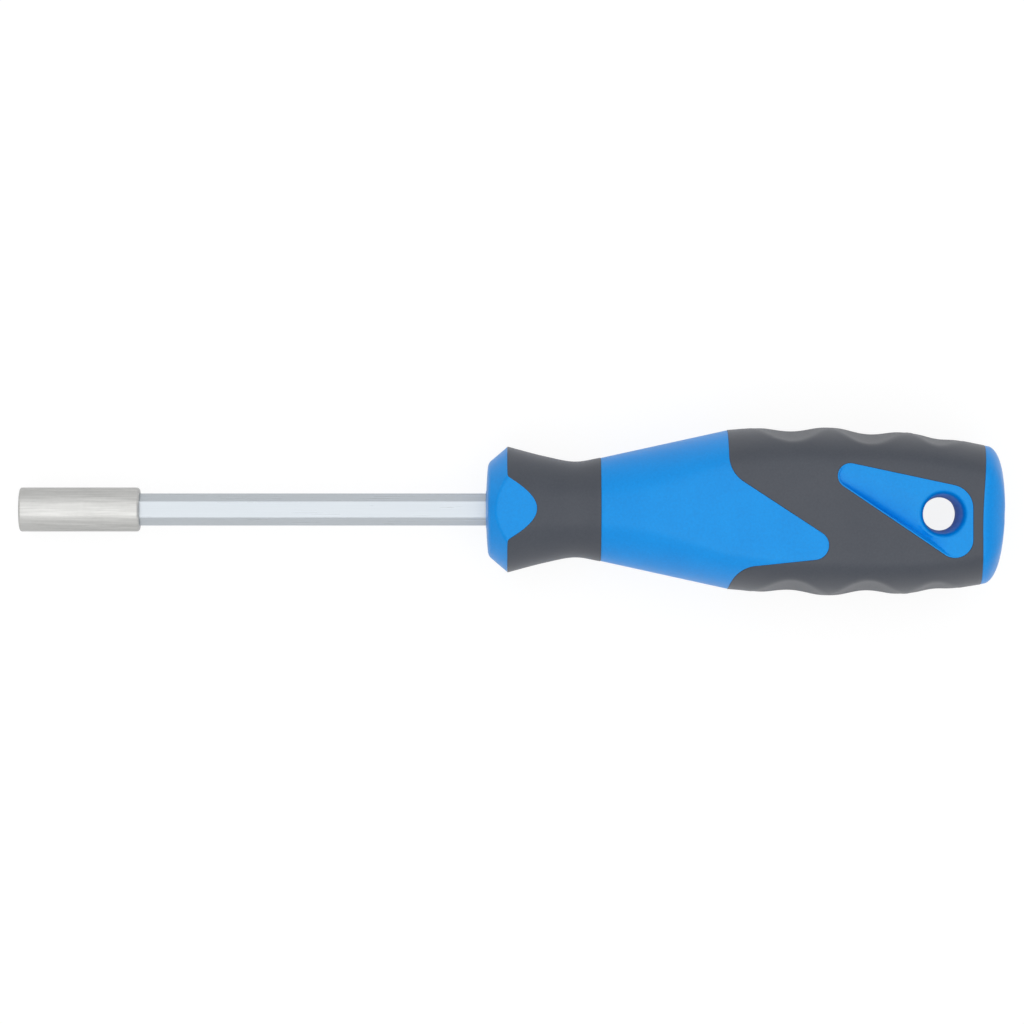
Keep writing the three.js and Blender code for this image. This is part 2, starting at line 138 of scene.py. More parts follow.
def addLight():
    world = bpy.data.worlds.new("studio")
    world.use_nodes = True
    tree = world.node_tree
    lit = tree.nodes["Background"]
    seen = tree.nodes.new("ShaderNodeBackground")
    for background in (lit, seen):
        background.inputs["Color"].default_value = (1, 1, 1, 1)
    way = tree.nodes.new("ShaderNodeTexCoord")
    axes = tree.nodes.new("ShaderNodeSeparateXYZ")
    tree.links.new(way.outputs["Generated"], axes.inputs[0])
    level = tree.nodes.new("ShaderNodeMapRange")
    level.interpolation_type = "SMOOTHSTEP"
    limits = {"From Min": "endStart", "From Max": "endFull", "To Min": "worldLevel", "To Max": "endLevel"}
    for socket, key in limits.items():
        level.inputs[socket].default_value = studio[key]
    tree.links.new(mathNode(tree, "ABSOLUTE", axes.outputs["X"]), level.inputs["Value"])
    tree.links.new(level.outputs["Result"], lit.inputs["Strength"])
    tree.links.new(seenAsWhite(tree, lit, seen), tree.nodes["World Output"].inputs["Surface"])
    bpy.context.scene.world = world
    for name in ("box", "wide"):
        length, width = (2 * studio["boxHeight"] * reach for reach in studio[name + "Reach"])
        addLamp(name + "Light", (0, 0, studio["boxHeight"]), length, width, studio[name + "Level"])
    stripAt = (0, studio["stripPlace"], studio["stripHeight"])
    addLamp("stripLight", stripAt, studio["stripLength"], studio["stripWidth"], studio["stripLevel"])


def addLamp(name, place, length, width, level):  # facing down, of even brightness
    lamp = bpy.data.lights.new(name, "AREA")
    lamp.shape = "RECTANGLE"
    lamp.size = length
    lamp.size_y = width
    lamp.energy = level * pi * length * width
    lampObject = bpy.data.objects.new(name, lamp)
    lampObject.location = place
    lampObject.visible_camera = False
    bpy.context.scene.collection.objects.link(lampObject)


bpy.context.scene.view_settings.view_transform = "Standard"
addCamera()
addFloor()
addLight()
print("camera, floor and light set")


# Finishes

def groupSockets(group, ins, outs):
    for name, value in ins.items():
        socket = group.interface.new_socket(name, in_out="INPUT", socket_type="NodeSocketFloat")
        socket.default_value = value
    for name in outs:
        group.interface.new_socket(name, in_out="OUTPUT", socket_type="NodeSocketFloat")
    return group.nodes.new("NodeGroupInput"), group.nodes.new("NodeGroupOutput")


def addNoise(group, vector, scale, output, detail=3.0):
    noise = group.nodes.new("ShaderNodeTexNoise")
    noise.inputs["Detail"].default_value = detail
    group.links.new(vector, noise.inputs["Vector"])
    group.links.new(scale, noise.inputs["Scale"])
    group.links.new(noise.outputs["Fac"], output)


def makeGrainGroup():  # fine spark-eroded grain, and a broad cloud for slow changes of tone
    group = bpy.data.node_groups.new("mouldGrain", "ShaderNodeTree")
    ins, outs = groupSockets(group, {"Grain Scale": 3000.0, "Cloud Scale": 90.0}, ["Grain", "Cloud"])
    place = group.nodes.new("ShaderNodeTexCoord").outputs["Object"]
    addNoise(group, place, ins.outputs["Grain Scale"], outs.inputs["Grain"], detail=2.0)
    addNoise(group, place, ins.outputs["Cloud Scale"], outs.inputs["Cloud"])
    return group


def makeDrawnGroup():  # lines drawn along the tool, and small spots from tumbling
    group = bpy.data.node_groups.new("drawnMetal", "ShaderNodeTree")
    settings = {"Line Scale": 2500.0, "Stretch": 0.03, "Spot Scale": 900.0}
    ins, outs = groupSockets(group, settings, ["Line", "Spot"])
    place = group.nodes.new("ShaderNodeTexCoord")
    turn = group.nodes.new("ShaderNodeMapping")
    turn.inputs["Rotation"].default_value = toolTurn.transposed().to_euler()
    group.links.new(place.outputs["Object"], turn.inputs["Vector"])
    along = group.nodes.new("ShaderNodeCombineXYZ")
    group.links.new(ins.outputs["Stretch"], along.inputs["X"])
    along.inputs["Y"].default_value = 1
    along.inputs["Z"].default_value = 1
    squeeze = group.nodes.new("ShaderNodeVectorMath")
    squeeze.operation = "MULTIPLY"
    group.links.new(turn.outputs[0], squeeze.inputs[0])
    group.links.new(along.outputs[0], squeeze.inputs[1])
    addNoise(group, squeeze.outputs[0], ins.outputs["Line Scale"], outs.inputs["Line"])
    addNoise(group, turn.outputs[0], ins.outputs["Spot Scale"], outs.inputs["Spot"])
    return group


mouldGrain = makeGrainGroup()
drawnMetal = makeDrawnGroup()


def makeFinish(name, group, spec):
    material = bpy.data.materials.new(name)
    material.use_nodes = True
    tree = material.node_tree
    shader = tree.nodes["Principled BSDF"]
    effect = tree.nodes.new("ShaderNodeGroup")
    effect.node_tree = group
    for socket, value in spec["effect"].items():
        effect.inputs[socket].default_value = value
    fine, broad = effect.outputs[0], effect.outputs[1]
    blend = tree.nodes.new("ShaderNodeMix")
    blend.inputs["Factor"].default_value = spec["fineShare"]
    tree.links.new(broad, blend.inputs["A"])
    tree.links.new(fine, blend.inputs["B"])
    tone = tree.nodes.new("ShaderNodeMix")
    tone.data_type = "RGBA"
    tone.inputs["A"].default_value = (*spec["darkTone"], 1)
    tone.inputs["B"].default_value = (*spec["lightTone"], 1)
    tree.links.new(blend.outputs["Result"], tone.inputs["Factor"])
    tree.links.new(tone.outputs["Result"], shader.inputs["Base Color"])
    gloss = tree.nodes.new("ShaderNodeMapRange")
    gloss.inputs["To Min"].default_value = spec["roughness"][0]
    gloss.inputs["To Max"].default_value = spec["roughness"][1]
    tree.links.new(fine, gloss.inputs["Value"])
    tree.links.new(gloss.outputs["Result"], shader.inputs["Roughness"])
    bump = tree.nodes.new("ShaderNodeBump")
    bump.inputs["Strength"].default_value = spec["bump"]
    bump.inputs["Distance"].default_value = spec["bumpHeight"] * mm
    tree.links.new(fine, bump.inputs["Height"])
    tree.links.new(bump.outputs["Normal"], shader.inputs["Normal"])
    shader.inputs["Metallic"].default_value = spec.get("metallic", 0.0)
    shader.inputs["Sheen Weight"].default_value = spec.get("sheen", 0.0)
    shader.inputs["Specular IOR Level"].default_value = spec.get("specular", 0.5)
    shader.inputs["Specular Tint"].default_value = (*spec.get("specularTint", (1, 1, 1)), 1)
    return material


bluePlastic = makeFinish("bluePlastic", mouldGrain, {
    "effect": {"Grain Scale": 1900.0, "Cloud Scale": 120.0}, "fineShare": 0.6,
    "darkTone": (0.0, 0.21, 0.68), "lightTone": (0.0, 0.33, 0.92),
    "roughness": (0.26, 0.36), "bump": 0.12, "bumpHeight": 0.03,
    "specular": 0.5, "specularTint": (0.43, 0.95, 1.0),
})
softRubber = makeFinish("softRubber", mouldGrain, {
    "effect": {"Grain Scale": 2100.0, "Cloud Scale": 140.0}, "fineShare": 0.6,
    "darkTone": (0.031, 0.039, 0.057), "lightTone": (0.061, 0.069, 0.087),
    "roughness": (0.34, 0.46), "bump": 0.25, "bumpHeight": 0.04, "specular": 0.43, "sheen": 0.13,
})
corePlastic = makeFinish("corePlastic", mouldGrain, {
    "effect": {"Grain Scale": 2000.0, "Cloud Scale": 80.0}, "fineShare": 0.0,
    "darkTone": (0.025, 0.025, 0.028), "lightTone": (0.04, 0.04, 0.044),
    "roughness": (0.5, 0.65), "bump": 0.2, "bumpHeight": 0.03,
})
platedSteel = makeFinish("platedSteel", drawnMetal, {
    "effect": {"Line Scale": 3000.0, "Stretch": 0.02, "Spot Scale": 600.0},
    "darkTone": (0.492, 0.531, 0.566), "lightTone": (0.551, 0.59, 0.625), "fineShare": 1.0,
    "roughness": (0.24, 0.34), "bump": 0.05, "bumpHeight": 0.02, "metallic": 0.6,
})
brushedSteel = makeFinish("brushedSteel", drawnMetal, {
    "effect": {"Line Scale": 2200.0, "Stretch": 0.05, "Spot Scale": 1100.0},
    "darkTone": (0.33, 0.33, 0.322), "lightTone": (0.68, 0.68, 0.665), "fineShare": 0.85,
    "roughness": (0.24, 0.4), "bump": 0.2, "bumpHeight": 0.03, "metallic": 0.72,
})
nickelPlate = makeFinish("nickelPlate", drawnMetal, {
    "effect": {"Line Scale": 1500.0, "Stretch": 0.5, "Spot Scale": 700.0},
    "darkTone": (0.5, 0.49, 0.46), "lightTone": (0.6, 0.58, 0.55), "fineShare": 0.0,
    "roughness": (0.16, 0.28), "bump": 0.05, "bumpHeight": 0.02, "metallic": 1.0,
})
springWire = makeFinish("springWire", drawnMetal, {
    "effect": {"Line Scale": 2200.0, "Stretch": 0.6, "Spot Scale": 900.0},
    "darkTone": (0.3, 0.3, 0.31), "lightTone": (0.42, 0.42, 0.43), "fineShare": 0.0,
    "roughness": (0.25, 0.4), "bump": 0.1, "bumpHeight": 0.02, "metallic": 1.0,
})
print("finishes made")


# Meshes

def finishPiece(name, mesh, material, node, body, sharpAngle=38.0):
    mesh.transform(toolFrame)
    mesh.shade_smooth()
    mesh.set_sharp_from_angle(angle=radians(sharpAngle))
    if not mesh.materials:
        mesh.materials.append(material)
    piece = bpy.data.objects.new(name, mesh)
    bpy.context.scene.collection.objects.link(piece)
    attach(piece, body)
    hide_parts(node)
    print(name, "made with", sum(len(p.vertices) - 2 for p in mesh.polygons), "triangles")


def weldMesh(mesh):
    shape = bmesh.new()
    shape.from_mesh(mesh)
    bmesh.ops.remove_doubles(shape, verts=shape.verts, dist=weldGap)
    bmesh.ops.recalc_face_normals(shape, faces=shape.faces)
    openEdges = sum(1 for e in shape.edges if not e.is_manifold)
    if openEdges:
        print(mesh.name, "has", openEdges, "open edges")
    shape.to_mesh(mesh)
    shape.free()
    return mesh


def closedMesh(name, points, faces):
    mesh = bpy.data.meshes.new(name)
    mesh.from_pydata([tuple(p) for p in points], [], [tuple(int(i) for i in f) for f in faces])
    return weldMesh(mesh)


def loftFaces(ringCount, sides, start=0):
    faces = []
    for r in range(ringCount - 1):
        for i in range(sides):
            a, b = start + r * sides + i, start + r * sides + (i + 1) % sides
            faces.append((a, b, b + sides, a + sides))
    return faces


def fan(ring, centre):
    return [(ring[i], ring[(i + 1) % len(ring)], centre) for i in range(len(ring))]


# Handle surface

handle = {
    "length": 117.5, "sides": 240,
    "collarLength": 5.0, "collarRadius": 14.2, "coneOn": 1.3, "faceStart": 0.15, "faceEnd": (0.58, 9.6),
    "shoulder": (1.35, 11.1), "shoulderBend": (0.72, 10.55),
    "collarFlat": 12.55, "flatTip": 11.9, "flatFall": 0.05,  # the collar's flats fall towards the front
    "neckKnots": [(5.0, 14.25), (13.8, 11.97), (20.5, 10.82), (26.2, 11.72)],
    "rearKnots": [(54.9, 18.0), (69.0, 19.02), (94.6, 18.33), (106.1, 16.93), (112.87, 15.75)],
    "capFullness": 2.3, "capFaceShare": 0.22, "capDepthFullness": 1.6, "capDepthShare": 0.6,
    "flatDepth": 14.8, "flatTaperStart": 80.0, "flatTaper": 2.0, "flatSharpness": 16.0,
    "leanStart": 58.0, "lean": 1.22, "seamSlant": 0.03, "seamBow": 0.8,
    "scallops": [(69.3, 1.1, 8.6), (86.6, 1.15, 8.4), (102.0, 0.55, 5.8)],  # place, depth, reach
    "scallopSpread": radians(36), "scallopFlank": 0.3, "scallopEdge": 0.35,
    "planRounds": 4, "planHalvings": 36,  # steps that find the surface above a plan
}
neckEnd, neckEndRadius = handle["neckKnots"][-1]
gripStart, gripStartRadius = handle["rearKnots"][0]
capStart = handle["rearKnots"][-1][0]
deepest = max(depth for _, depth, _ in handle["scallops"])


def eased(share):
    return share ** 2 * (3 - 2 * share)


def smoothThrough(knots):
    places, radii = np.array(knots).T
    rise = np.diff(radii) / np.diff(places)
    slope = np.concatenate([rise[:1], (rise[:-1] + rise[1:]) / 2, rise[-1:]])

    def at(place):
        i = np.clip(np.searchsorted(places, place) - 1, 0, len(rise) - 1)
        gap = places[i + 1] - places[i]
        p = (place - places[i]) / gap
        ends = radii[i] * eased(1 - p) + radii[i + 1] * eased(p)
        return ends + gap * p * (1 - p) * (slope[i] * (1 - p) - slope[i + 1] * p)

    return at


neckRadius = smoothThrough(handle["neckKnots"])
rearRadius = smoothThrough(handle["rearKnots"])


def sideRadius(place):
    middle = np.interp(place, [neckEnd, gripStart], [neckEndRadius, gripStartRadius])
    neck = neckRadius(np.clip(place, handle["collarLength"], neckEnd))
    rear = rearRadius(np.clip(place, gripStart, capStart))
    return np.where(place <= neckEnd, neck, np.where(place >= gripStart, rear, middle))


def capScale(place, fullness=handle["capFullness"], faceShare=handle["capFaceShare"]):
    share = np.clip((place - capStart) / (handle["length"] - capStart), 0, 1)
    return faceShare + (1 - faceShare) * (1 - share ** fullness) ** (1 / fullness)


def capLift(place):  # the cap stays fuller above and below than at its sides
    return capScale(place, handle["capDepthFullness"], handle["capDepthShare"]) / capScale(place)


def softMin(a, b, reach):
    near = np.maximum(reach - np.abs(a - b), 0) / reach
    return np.minimum(a, b) - near ** 2 * reach / 4


def flatChord(radius, angle, flat, sharpness):
    reach = flat / np.maximum(np.abs(np.cos(angle)), 1e-6)
    return (radius ** -sharpness + reach ** -sharpness) ** (-1 / sharpness)


def surfaceRadius(place, angle):
    share = np.clip((place - handle["flatTaperStart"]) / (capStart - handle["flatTaperStart"]), 0, 1)
    side = sideRadius(place)
    flat = handle["flatDepth"] - handle["flatTaper"] * share
    body = flatChord(side, angle, flat, handle["flatSharpness"])
    dip = sum(depth * np.cos(pi / 2 * np.minimum(1, np.abs(place - middle) / reach)) ** 2
              for middle, depth, reach in handle["scallops"])
    fromSide = np.abs(np.abs(angle) - pi / 2)
    spread = handle["scallopSpread"] * (dip / deepest) ** handle["scallopFlank"]
    tilt = np.arctan2(side - dip - side * np.cos(spread), side * np.sin(spread) + 1e-9)
    chord = (side - dip) * np.cos(tilt) / np.maximum(np.cos(fromSide - tilt), 0.05)
    cut = np.where(dip > 1e-4, softMin(body, chord, handle["scallopEdge"]), body)
    return cut * capScale(place)


def leanShare(place):
    return np.clip((place - handle["leanStart"]) / (capStart - handle["leanStart"]), 0, 1)


def surfacePoint(place, angle, offset=0.0):
    share = leanShare(place)
    radius = surfaceRadius(place, angle) + offset
    y = radius * np.sin(angle)
    bow = handle["seamBow"] * capScale(place) * np.cos(angle) ** 2
    x = place + share * (handle["seamSlant"] * y - bow)
    return np.stack([x, y - handle["lean"] * share, radius * np.cos(angle) * capLift(place)], axis=-1)


def planToSurface(x, y):  # place and angle of the upper surface's points above a plan
    place, angle = np.array(x, float), np.zeros(len(x))
    for _ in range(handle["planRounds"]):
        share = leanShare(place)
        aim = np.asarray(y) + handle["lean"] * share
        low, high = np.full(len(place), -pi / 2), np.full(len(place), pi / 2)
        for _ in range(handle["planHalvings"]):
            angle = (low + high) / 2
            short = surfaceRadius(place, angle) * np.sin(angle) < aim
            low, high = np.where(short, angle, low), np.where(short, high, angle)
        bow = handle["seamBow"] * capScale(place) * np.cos(angle) ** 2
        place = np.asarray(x) - share * (handle["seamSlant"] * aim - bow)
    return place, angle


def evenAngles(sides):
    return -pi + 2 * pi * np.arange(sides) / sides


allAngles = evenAngles(handle["sides"])
upperAngles = np.linspace(-pi / 2, pi / 2, handle["sides"] // 2 + 1)


def ringAt(place, offset=0.0):
    return surfacePoint(np.full(len(allAngles), place), allAngles, offset)


# Seams between the hard body and the soft grips

seam = {
    "gripWall": 2.0, "neckWall": 1.6, "under": 0.3, "proud": 0.08, "gap": 0.02,
    "gripLip": 0.12, "bodyLip": 0.1, "lipSteps": 6, "draft": 0.02,
    "tongueFillet": 0.7, "tongueShare": 0.96, "tongueLift": 0.09, "tongueTurn": 0.02,
    "tongueClear": 5.7, "tongueSamples": 200, "sampleStep": 0.34, "cornerSteps": 6, "gridClear": 0.55,
}


def roundedLip(size, top):  # distance from the seam and height of each step round an edge
    turns = np.linspace(0, pi / 2, seam["lipSteps"] + 1)
    return [(size * (1 - cos(t)), top - size * (1 - sin(t))) for t in turns]


gripLip = roundedLip(seam["gripLip"], seam["proud"])
bodyLip = roundedLip(seam["bodyLip"], 0.0)


def neckSeam(angle):  # where the neck grip starts: a straight seam, and a tongue round each collar flat
    start = handle["collarLength"]
    places = np.linspace(start, neckEnd - seam["tongueClear"], seam["tongueSamples"])
    fromFlat = np.arcsin(np.sin(angle)) - seam["tongueTurn"]
    aside = np.maximum(np.cos(fromFlat * seam["tongueShare"]), 1e-3)
    wanted = handle["collarFlat"] / aside - seam["tongueLift"]
    inside = np.interp(-wanted, -neckRadius(places), places)
    fall = (neckRadius(places[1]) - neckRadius(places[0])) / (places[1] - places[0])
    before = start + (wanted - handle["collarRadius"]) / fall
    reach = np.where(wanted > handle["collarRadius"], before, inside) - start
    return start + (reach + np.sqrt(reach ** 2 + seam["tongueFillet"] ** 2)) / 2


# Rear grip outlines, seen from above

outline = {
    "tongue": [(gripStart, -13.4, 6.5), (83.5, -10.4, 3.3), (gripStart, 8.4, 7.0)],  # x, y, rounding
    "window": [(68.3, 13.45, 2.85), (109.8, -14.55, 4.1), (109.8, 4.6, 5.4)],
    "far": 40.0,
}


def cornerArc(before, corner, after, grow):
    start, here, end = (np.array(p[:2]) for p in (before, corner, after))
    into, out = here - start, end - here
    into, out = into / np.linalg.norm(into), out / np.linalg.norm(out)
    turn = np.arctan2(into[0] * out[1] - into[1] * out[0], into @ out)
    outward = np.array([into[1] + out[1], -into[0] - out[0]])
    outward = outward / np.linalg.norm(outward)
    moved = here + outward * grow / cos(turn / 2)
    radius = corner[2] + np.sign(turn) * grow
    centre = moved - outward * np.sign(turn) * radius / cos(turn / 2)
    first = np.arctan2(-into[0], into[1]) + (0 if turn > 0 else pi)
    count = max(seam["cornerSteps"], ceil(abs(turn) * corner[2] / seam["sampleStep"]))
    angles = first + turn * np.arange(count + 1) / count
    return centre + radius * np.stack([np.cos(angles), np.sin(angles)], axis=1)


def subdivided(points, closed):
    ends = np.roll(points, -1, axis=0) if closed else points[1:]
    made = []
    for a, b in zip(points, ends):
        count = max(1, round(np.linalg.norm(b - a) / seam["sampleStep"]))
        made.extend(a + (b - a) * k / count for k in range(count))
    if not closed:
        made.append(points[-1])
    return np.array(made)


def windowPlan(grow):
    corners = outline["window"]
    around = zip(corners[-1:] + corners[:-1], corners, corners[1:] + corners[:1])
    return subdivided(np.concatenate([cornerArc(*three, grow) for three in around]), True)


def tonguePlan(grow):
    below, above = (gripStart, -outline["far"]), (gripStart, outline["far"])
    corners = [below, *outline["tongue"], above]
    arcs = [cornerArc(*corners[i - 1:i + 2], grow) for i in range(1, len(corners) - 1)]
    return subdivided(np.concatenate(arcs), False)


def windowLine(grow):
    return np.stack(planToSurface(*windowPlan(grow).T), axis=1)


def acrossLine(place, angles=upperAngles):
    return np.stack([np.full(len(angles), place), angles], axis=1)


def tongueLine(grow):  # the tongue's edge, then straight down both sides of the handle
    middle = np.stack(planToSurface(*tonguePlan(grow).T), axis=1)
    step = seam["sampleStep"] / gripStartRadius

    def side(fromAngle, toAngle):
        count = ceil(abs(toAngle - fromAngle) / step)
        return acrossLine(gripStart + grow, np.linspace(fromAngle, toAngle, count + 1))

    return np.concatenate([side(-pi / 2, middle[0, 1])[:-1], middle, side(middle[-1, 1], pi / 2)[1:]])


def insidePlan(points, polygon):
    inside = np.zeros(len(points), bool)
    x, y = points[:, 0], points[:, 1]
    for (x0, y0), (x1, y1) in zip(polygon, np.roll(polygon, -1, axis=0)):
        crosses = (y0 > y) != (y1 > y)
        inside ^= crosses & (x < (x1 - x0) * (y - y0) / (y1 - y0 + 1e-12) + x0)
    return inside


def inTongue(points):
    far = outline["far"]
    around = [(gripStart, far), (far, far), (far, -far), (gripStart, -far)]
    return insidePlan(points, np.concatenate([tonguePlan(0), around]))


def inWindow(points):
    return insidePlan(points, windowPlan(0))


# Patches of the upper half: lines of points to keep, filled with a grid and triangulated

spanRadius = 16.0  # turns an angle into a length for the triangulation


class Patch:
    def __init__(self):
        self.spots, self.points, self.edges, self.onEdge = [], [], [], []

    def addLine(self, spots, points, closed=False, onEdge=False):
        first = len(self.spots)
        self.spots.extend(spots)
        self.points.extend(points)
        self.onEdge.extend([onEdge] * len(spots))
        count = len(spots)
        edgeCount = count if closed else count - 1
        self.edges.extend((first + i, first + (i + 1) % count) for i in range(edgeCount))

    def addGrid(self, spots, points, clear):
        tree = KDTree(len(self.spots))
        for i, (place, angle) in enumerate(self.spots):
            tree.insert((place, spanRadius * angle, 0), i)
        tree.balance()
        for spot, point in zip(spots, points):
            if tree.find((spot[0], spanRadius * spot[1], 0))[2] > clear:
                self.spots.append(spot)
                self.points.append(point)
                self.onEdge.append(False)

    def triangles(self):
        flat = [Vector((place, spanRadius * angle)) for place, angle in self.spots]
        verts, _, faces, origin, _, _ = delaunay_2d_cdt(flat, self.edges, [], 0, 1e-7)
        if len(verts) != len(flat):
            print("triangulation changed the points:", len(flat), "to", len(verts))
        back = [o[0] if o else -1 for o in origin]
        faces = [[back[i] for i in f] for f in faces]
        return [f for f in faces if min(f) >= 0 and not all(self.onEdge[i] for i in f)]


def gridSpots(fromPlace, toPlace, step):
    places = np.linspace(fromPlace, toPlace, round((toPlace - fromPlace) / step) + 1)
    angles = np.linspace(-pi / 2, pi / 2, round(pi * gripStartRadius / step) + 1)
    return np.stack(np.meshgrid(places, angles, indexing="ij"), axis=-1).reshape(-1, 2)


def mirrored(points):
    return points * np.array([1, 1, -1])


# Rear grip

rearGripSpec = {"step": 0.75}


def buildRearGrip():
    patch = Patch()
    rear = capStart - seam["gap"]
    for depth, offset in gripLip:
        onEdge = depth == gripLip[0][0]
        front = tongueLine(seam["gap"] + depth)
        patch.addLine(front, surfacePoint(*front.T, offset), onEdge=onEdge)
        window = windowLine(seam["gap"] + depth)
        patch.addLine(window, surfacePoint(*window.T, offset), closed=True, onEdge=onEdge)
        back = acrossLine(rear - depth)
        patch.addLine(back, surfacePoint(*back.T, offset), onEdge=onEdge)
    reach = gripLip[-1][0] + seam["gap"]
    spots = gridSpots(gripStart + reach, rear - reach, rearGripSpec["step"])
    plan = surfacePoint(*spots.T)[:, :2]
    spots = spots[~inTongue(plan) & ~inWindow(plan)]
    patch.addGrid(spots, surfacePoint(*spots.T, seam["proud"]), rearGripSpec["step"] * seam["gridClear"])
    faces = patch.triangles()
    outer = np.array(patch.points)
    inner = surfacePoint(*np.array(patch.spots).T, -seam["gripWall"])
    return shellMesh("rearGrip", outer, inner, faces)


def shellMesh(name, outer, inner, faces):  # a wall of the upper half and its mirror image below
    count = len(outer)
    edges = dict.fromkeys(edge for f in faces for edge in zip(f, f[1:] + f[:1]))
    onSide = [abs(p[2]) < 1e-6 for p in outer]
    rim = [(a, b) for a, b in edges if (b, a) not in edges and not (onSide[a] and onSide[b])]
    upper = np.concatenate([outer, inner])
    upperFaces = [tuple(f) for f in faces] + [tuple(count + i for i in reversed(f)) for f in faces]
    upperFaces += [(b, a, count + a, count + b) for a, b in rim]
    points = np.concatenate([upper, mirrored(upper)])
    lowerFaces = [tuple(2 * count + i for i in reversed(f)) for f in upperFaces]
    return closedMesh(name, points, upperFaces + lowerFaces)


finishPiece("rearGrip", buildRearGrip(), softRubber, "rear_grip", "driver")


# Neck grip

neckGripSpec = {"rings": 34}


def buildNeckGrip():
    start = neckSeam(allAngles) + seam["gap"]
    end = neckEnd - seam["gap"]
    reach = gripLip[-1][0]
    rings = [surfacePoint(start + depth, allAngles, offset) for depth, offset in gripLip]
    for share in np.linspace(0, 1, neckGripSpec["rings"])[1:-1]:
        place = start + reach + (end - start - 2 * reach) * share
        rings.append(surfacePoint(place, allAngles, seam["proud"]))
    for depth, offset in reversed(gripLip):
        rings.append(ringAt(end - depth, offset))
    rings.append(ringAt(end, -seam["neckWall"]))
    rings.append(surfacePoint(start, allAngles, -seam["neckWall"]))
    rings.append(rings[0])
    return closedMesh("neckGrip", np.concatenate(rings), loftFaces(len(rings), len(allAngles)))


finishPiece("neckGrip", buildNeckGrip(), softRubber, "neck_grip", "driver")


# Hard body

hardBodySpec = {
    "boreFlats": 6.5, "boreChamfer": 0.35, "cavityStart": 5.7, "cavityEnd": 92.3, "cavityRadius": 7.55,
    "faceInner": 4.25, "faceRings": 12, "shoulderRings": 12, "flatRings": 29, "flatEdge": 0.12,
    "seatRings": 12, "middleRings": 33, "capRings": 26, "joinFront": 52.9, "joinRear": 113.9,
    "step": 0.8, "hiddenStep": 2.4, "hiddenClear": 0.4,
    "dishDepth": 2.6, "dishReach": 7.5, "dishPower": 1.1, "dishFade": 9.0,
    "tipSpread": 0.36, "tipReach": 0.1, "rim": 0.26, "rimFall": 0.14, "rimRings": 6,
    "holeX": 103.1, "holeY": -1.0, "holeSides": 72, "mouth": 5.6, "mouthDepth": 3.5, "mouthRings": 9,
    "throat": 3.75, "throatRings": 5, "draft": 0.07,
}


def hexRadius(angle, flats):
    return flats / 2 / np.cos((angle + pi / 6) % (pi / 3) - pi / 6)


def roundRing(place, radius, angles=allAngles):
    place, radius = (value * np.ones(len(angles)) for value in (place, radius))
    return np.stack([place, radius * np.sin(angles), radius * np.cos(angles)], axis=1)


def collarProfile():  # slightly domed face and the rounded shoulder that leads to the cone
    first, last = handle["faceStart"], handle["faceEnd"]
    radii = np.linspace(hardBodySpec["faceInner"], last[1], hardBodySpec["faceRings"])
    face = [(first + (last[0] - first) * (r / last[1]) ** 2, r) for r in radii]
    start, bend, end = (np.array(handle[k]) for k in ("faceEnd", "shoulderBend", "shoulder"))
    shares = np.linspace(0, 1, hardBodySpec["shoulderRings"] + 1)[1:]
    return face + [tuple(start * (1 - t) ** 2 + 2 * bend * t * (1 - t) + end * t ** 2) for t in shares]


def collarRadiusAt(place, angle):  # a cone that runs on past the collar, cut by the two flats
    start, startRadius = handle["shoulder"]
    end, endRadius = handle["collarLength"], handle["collarRadius"]
    cone = np.interp(place, [start, end, 2 * end], [startRadius, endRadius, handle["coneOn"] * endRadius])
    flat = handle["collarFlat"] - handle["flatFall"] * (handle["flatTip"] - place)
    flat = flat / np.maximum(np.abs(np.cos(angle)), 1e-3)
    return softMin(cone, flat, hardBodySpec["flatEdge"])


def frontRings():
    spec = hardBodySpec
    hexBore = hexRadius(allAngles, spec["boreFlats"])
    face, chamfer = handle["faceStart"], spec["boreChamfer"]
    inside = [
        (spec["cavityEnd"], spec["cavityRadius"]), (spec["cavityStart"], spec["cavityRadius"]),
        (spec["cavityStart"], hexBore), (face + chamfer, hexBore), (face, hexBore + chamfer),
    ]
    rings = [roundRing(place, radius) for place, radius in inside + collarProfile()]
    seamPlace = neckSeam(allAngles)
    lip = bodyLip[-1][0]
    start = handle["shoulder"][0]
    for share in np.linspace(0, 1, spec["flatRings"] + 1)[1:]:
        place = start + (seamPlace - lip - start) * share
        rings.append(roundRing(place, collarRadiusAt(place, allAngles)))
    for depth, drop in reversed(bodyLip[:-1]):
        rings.append(roundRing(seamPlace - depth, collarRadiusAt(seamPlace - depth, allAngles) + drop))
    floor = -seam["neckWall"] - seam["under"]
    for share in np.linspace(0, 1, spec["seatRings"]):  # seat of the neck grip
        place = seamPlace + seam["draft"] + (neckEnd - seam["draft"] * 2 - seamPlace) * share
        rings.append(surfacePoint(place, allAngles, floor))
    rings += [ringAt(neckEnd + depth, drop) for depth, drop in bodyLip]
    places = np.linspace(neckEnd + lip, spec["joinFront"], spec["middleRings"] + 1)[1:]
    return rings + [ringAt(place) for place in places]


def capRings():
    turns = np.linspace(0, pi / 2, hardBodySpec["capRings"])
    first = np.arcsin((hardBodySpec["joinRear"] - capStart) / (handle["length"] - capStart))
    turns = np.concatenate([[first], turns[turns > first + 0.01]])
    places = capStart + (handle["length"] - capStart) * np.sin(turns)
    return [ringAt(place) for place in places]


